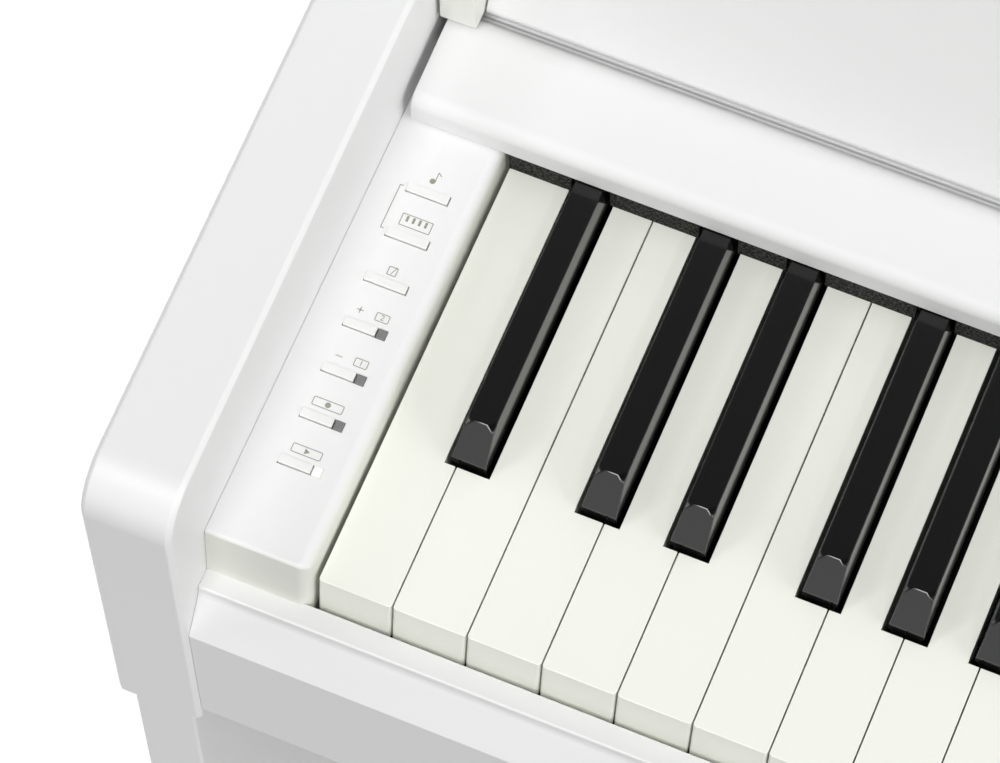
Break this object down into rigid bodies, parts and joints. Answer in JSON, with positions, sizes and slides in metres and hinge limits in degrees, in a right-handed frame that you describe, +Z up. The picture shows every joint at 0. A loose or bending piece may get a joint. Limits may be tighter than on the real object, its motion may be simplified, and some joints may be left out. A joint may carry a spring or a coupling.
{
  "type": "digital piano on stand",
  "caption": "Slim white console digital piano with hinged weighted keys, fold-back lid with a front flap, end control blocks and a panel-sided stand with pedals.",
  "frame": {"origin": "on the floor, under the middle of the box round the piano with its lid open", "axes": "+X to the treble end, +Y to the back, +Z up"},
  "size_m": [1.353, 0.3098, 0.9756],
  "materials": {
    "painted_board": "smooth satin white paint on fibreboard",
    "case_moulding": "satin off-white moulding",
    "hinge_cover": "satin off-white moulding",
    "button_plastic": "satin off-white",
    "lamp_lens": "smoky lens",
    "white_key": "polished",
    "black_key": "satin",
    "felt": "pressed felt",
    "frame_plastic": "moulded",
    "circuit_board": "solder-masked laminate",
    "speaker": "black frame and cone",
    "grille": "powder coated",
    "socket_plastic": "moulded",
    "steel": "zinc plated",
    "pedal_plate": "polished plating",
    "adjuster_plastic": "moulded",
    "glide_rubber": "matt"
  },
  "bodies": {
    "root": {"back_panel": "painted_board", "bottom_board": "painted_board", "button_lamps": "lamp_lens", "control_block_left": "case_moulding", "control_block_right": "case_moulding", "fallboard": "case_moulding", "floor_glides": "glide_rubber", "headphone_box": "case_moulding", "key_felt": "felt", "key_frame": "frame_plastic", "key_rest_felt": "felt", "key_slip": "case_moulding", "leg_board_left": "painted_board", "leg_board_right": "painted_board", "lid_hinge_covers": "hinge_cover", "lid_hinge_pins": "steel", "main_board": "circuit_board", "panel_boards": "circuit_board", "pedal_adjuster": "adjuster_plastic", "pedal_box": "painted_board", "pedal_rod": "steel", "rear_top_board": "painted_board", "side_arm_left": "painted_board", "side_arm_right": "painted_board", "socket_panel": "socket_plastic", "speaker_grilles": "grille", "speakers": "speaker", "stand_bolts": "steel", "stand_brace": "painted_board"},
    "lid": {"lid_panel": "painted_board", "flap_hinge_rod": "steel"},
    "flap": {"lid_flap": "painted_board", "flap_hinge_leaf": "steel"},
    "power_button": {"power_button": "button_plastic"},
    "volume_slider": {"volume_slider": "button_plastic"},
    "pedal_soft": {"pedal_soft": "pedal_plate"},
    "pedal_sostenuto": {"pedal_sostenuto": "pedal_plate"},
    "pedal_damper": {"pedal_damper": "pedal_plate"},
    "white_keys_upper": {"white_keys_upper": "white_key"},
    "black_keys_upper": {"black_keys_upper": "black_key"},
    "button_play": {"button_play": "button_plastic"},
    "button_record": {"button_record": "button_plastic"},
    "button_minus": {"button_minus": "button_plastic"},
    "button_plus": {"button_plus": "button_plastic"},
    "button_metronome": {"button_metronome": "button_plastic"},
    "button_voice": {"button_voice": "button_plastic"},
    "button_song": {"button_song": "button_plastic"},
    "white_key_A0": {"white_key_A0": "white_key"},
    "white_key_B0": {"white_key_B0": "white_key"},
    "white_key_C1": {"white_key_C1": "white_key"},
    "white_key_D1": {"white_key_D1": "white_key"},
    "white_key_E1": {"white_key_E1": "white_key"},
    "white_key_F1": {"white_key_F1": "white_key"},
    "white_key_G1": {"white_key_G1": "white_key"},
    "white_key_A1": {"white_key_A1": "white_key"},
    "black_key_As0": {"black_key_As0": "black_key"},
    "black_key_Cs1": {"black_key_Cs1": "black_key"},
    "black_key_Ds1": {"black_key_Ds1": "black_key"},
    "black_key_Fs1": {"black_key_Fs1": "black_key"},
    "black_key_Gs1": {"black_key_Gs1": "black_key"}
  },
  "joints": [
    {"name": "lid_hinge", "type": "hinge", "parent": "root", "child": "lid", "pos_m": [0, 0.06195, 0.77654], "axis": [1, 0, 0], "range_deg": [0, 115.3]},
    {"name": "flap_hinge", "type": "hinge", "parent": "lid", "child": "flap", "pos_m": [0, 0.13681, 0.96507], "axis": [1, 0, 0], "range_deg": [-90, 0]},
    {"name": "white_key_A0_rock", "type": "hinge", "parent": "root", "child": "white_key_A0", "pos_m": [0, 0.0933, 0.7108], "axis": [1, 0, 0], "range_deg": [0, 2.5], "stiffness_Nm_per_rad": 1.2, "springref_deg": -14.32},
    {"name": "white_key_B0_rock", "type": "hinge", "parent": "root", "child": "white_key_B0", "pos_m": [0, 0.0933, 0.7108], "axis": [1, 0, 0], "range_deg": [0, 2.5], "stiffness_Nm_per_rad": 1.2, "springref_deg": -14.32},
    {"name": "white_key_C1_rock", "type": "hinge", "parent": "root", "child": "white_key_C1", "pos_m": [0, 0.0933, 0.7108], "axis": [1, 0, 0], "range_deg": [0, 2.5], "stiffness_Nm_per_rad": 1.2, "springref_deg": -14.32},
    {"name": "white_key_D1_rock", "type": "hinge", "parent": "root", "child": "white_key_D1", "pos_m": [0, 0.0933, 0.7108], "axis": [1, 0, 0], "range_deg": [0, 2.5], "stiffness_Nm_per_rad": 1.2, "springref_deg": -14.32},
    {"name": "white_key_E1_rock", "type": "hinge", "parent": "root", "child": "white_key_E1", "pos_m": [0, 0.0933, 0.7108], "axis": [1, 0, 0], "range_deg": [0, 2.5], "stiffness_Nm_per_rad": 1.2, "springref_deg": -14.32},
    {"name": "white_key_F1_rock", "type": "hinge", "parent": "root", "child": "white_key_F1", "pos_m": [0, 0.0933, 0.7108], "axis": [1, 0, 0], "range_deg": [0, 2.5], "stiffness_Nm_per_rad": 1.2, "springref_deg": -14.32},
    {"name": "white_key_G1_rock", "type": "hinge", "parent": "root", "child": "white_key_G1", "pos_m": [0, 0.0933, 0.7108], "axis": [1, 0, 0], "range_deg": [0, 2.5], "stiffness_Nm_per_rad": 1.2, "springref_deg": -14.32},
    {"name": "white_key_A1_rock", "type": "hinge", "parent": "root", "child": "white_key_A1", "pos_m": [0, 0.0933, 0.7108], "axis": [1, 0, 0], "range_deg": [0, 2.5], "stiffness_Nm_per_rad": 1.2, "springref_deg": -14.32},
    {"name": "black_key_As0_rock", "type": "hinge", "parent": "root", "child": "black_key_As0", "pos_m": [0, 0.0933, 0.7108], "axis": [1, 0, 0], "range_deg": [0, 2.5], "stiffness_Nm_per_rad": 0.8, "springref_deg": -14.32},
    {"name": "black_key_Cs1_rock", "type": "hinge", "parent": "root", "child": "black_key_Cs1", "pos_m": [0, 0.0933, 0.7108], "axis": [1, 0, 0], "range_deg": [0, 2.5], "stiffness_Nm_per_rad": 0.8, "springref_deg": -14.32},
    {"name": "black_key_Ds1_rock", "type": "hinge", "parent": "root", "child": "black_key_Ds1", "pos_m": [0, 0.0933, 0.7108], "axis": [1, 0, 0], "range_deg": [0, 2.5], "stiffness_Nm_per_rad": 0.8, "springref_deg": -14.32},
    {"name": "black_key_Fs1_rock", "type": "hinge", "parent": "root", "child": "black_key_Fs1", "pos_m": [0, 0.0933, 0.7108], "axis": [1, 0, 0], "range_deg": [0, 2.5], "stiffness_Nm_per_rad": 0.8, "springref_deg": -14.32},
    {"name": "black_key_Gs1_rock", "type": "hinge", "parent": "root", "child": "black_key_Gs1", "pos_m": [0, 0.0933, 0.7108], "axis": [1, 0, 0], "range_deg": [0, 2.5], "stiffness_Nm_per_rad": 0.8, "springref_deg": -14.32},
    {"name": "white_keys_upper_rock", "type": "hinge", "parent": "root", "child": "white_keys_upper", "pos_m": [0, 0.0933, 0.7108], "axis": [1, 0, 0], "range_deg": [0, 2.5], "stiffness_Nm_per_rad": 50, "springref_deg": -14.32},
    {"name": "black_keys_upper_rock", "type": "hinge", "parent": "root", "child": "black_keys_upper", "pos_m": [0, 0.0933, 0.7108], "axis": [1, 0, 0], "range_deg": [0, 2.5], "stiffness_Nm_per_rad": 24, "springref_deg": -14.32},
    {"name": "pedal_soft_rock", "type": "hinge", "parent": "root", "child": "pedal_soft", "pos_m": [0, 0.0593, 0.062], "axis": [1, 0, 0], "range_deg": [0, 5.5], "stiffness_Nm_per_rad": 20, "springref_deg": -5.73},
    {"name": "pedal_sostenuto_rock", "type": "hinge", "parent": "root", "child": "pedal_sostenuto", "pos_m": [0, 0.0593, 0.062], "axis": [1, 0, 0], "range_deg": [0, 5.5], "stiffness_Nm_per_rad": 20, "springref_deg": -5.73},
    {"name": "pedal_damper_rock", "type": "hinge", "parent": "root", "child": "pedal_damper", "pos_m": [0, 0.0593, 0.062], "axis": [1, 0, 0], "range_deg": [0, 5.5], "stiffness_Nm_per_rad": 20, "springref_deg": -5.73},
    {"name": "button_play_press", "type": "slide", "parent": "root", "child": "button_play", "axis": [0, 0, -1], "range_m": [0, 0.0008], "stiffness_N_per_m": 700, "springref_m": -0.001},
    {"name": "button_record_press", "type": "slide", "parent": "root", "child": "button_record", "axis": [0, 0, -1], "range_m": [0, 0.0008], "stiffness_N_per_m": 700, "springref_m": -0.001},
    {"name": "button_minus_press", "type": "slide", "parent": "root", "child": "button_minus", "axis": [0, 0, -1], "range_m": [0, 0.0008], "stiffness_N_per_m": 700, "springref_m": -0.001},
    {"name": "button_plus_press", "type": "slide", "parent": "root", "child": "button_plus", "axis": [0, 0, -1], "range_m": [0, 0.0008], "stiffness_N_per_m": 700, "springref_m": -0.001},
    {"name": "button_metronome_press", "type": "slide", "parent": "root", "child": "button_metronome", "axis": [0, 0, -1], "range_m": [0, 0.0008], "stiffness_N_per_m": 700, "springref_m": -0.001},
    {"name": "button_voice_press", "type": "slide", "parent": "root", "child": "button_voice", "axis": [0, 0, -1], "range_m": [0, 0.0008], "stiffness_N_per_m": 700, "springref_m": -0.001},
    {"name": "button_song_press", "type": "slide", "parent": "root", "child": "button_song", "axis": [0, 0, -1], "range_m": [0, 0.0008], "stiffness_N_per_m": 700, "springref_m": -0.001},
    {"name": "power_button_press", "type": "slide", "parent": "root", "child": "power_button", "axis": [0, 0, -1], "range_m": [0, 0.0008], "stiffness_N_per_m": 900, "springref_m": -0.001},
    {"name": "volume_slide", "type": "slide", "parent": "root", "child": "volume_slider", "axis": [0, 1, 0], "range_m": [-0.014, 0.014]}
  ]
}
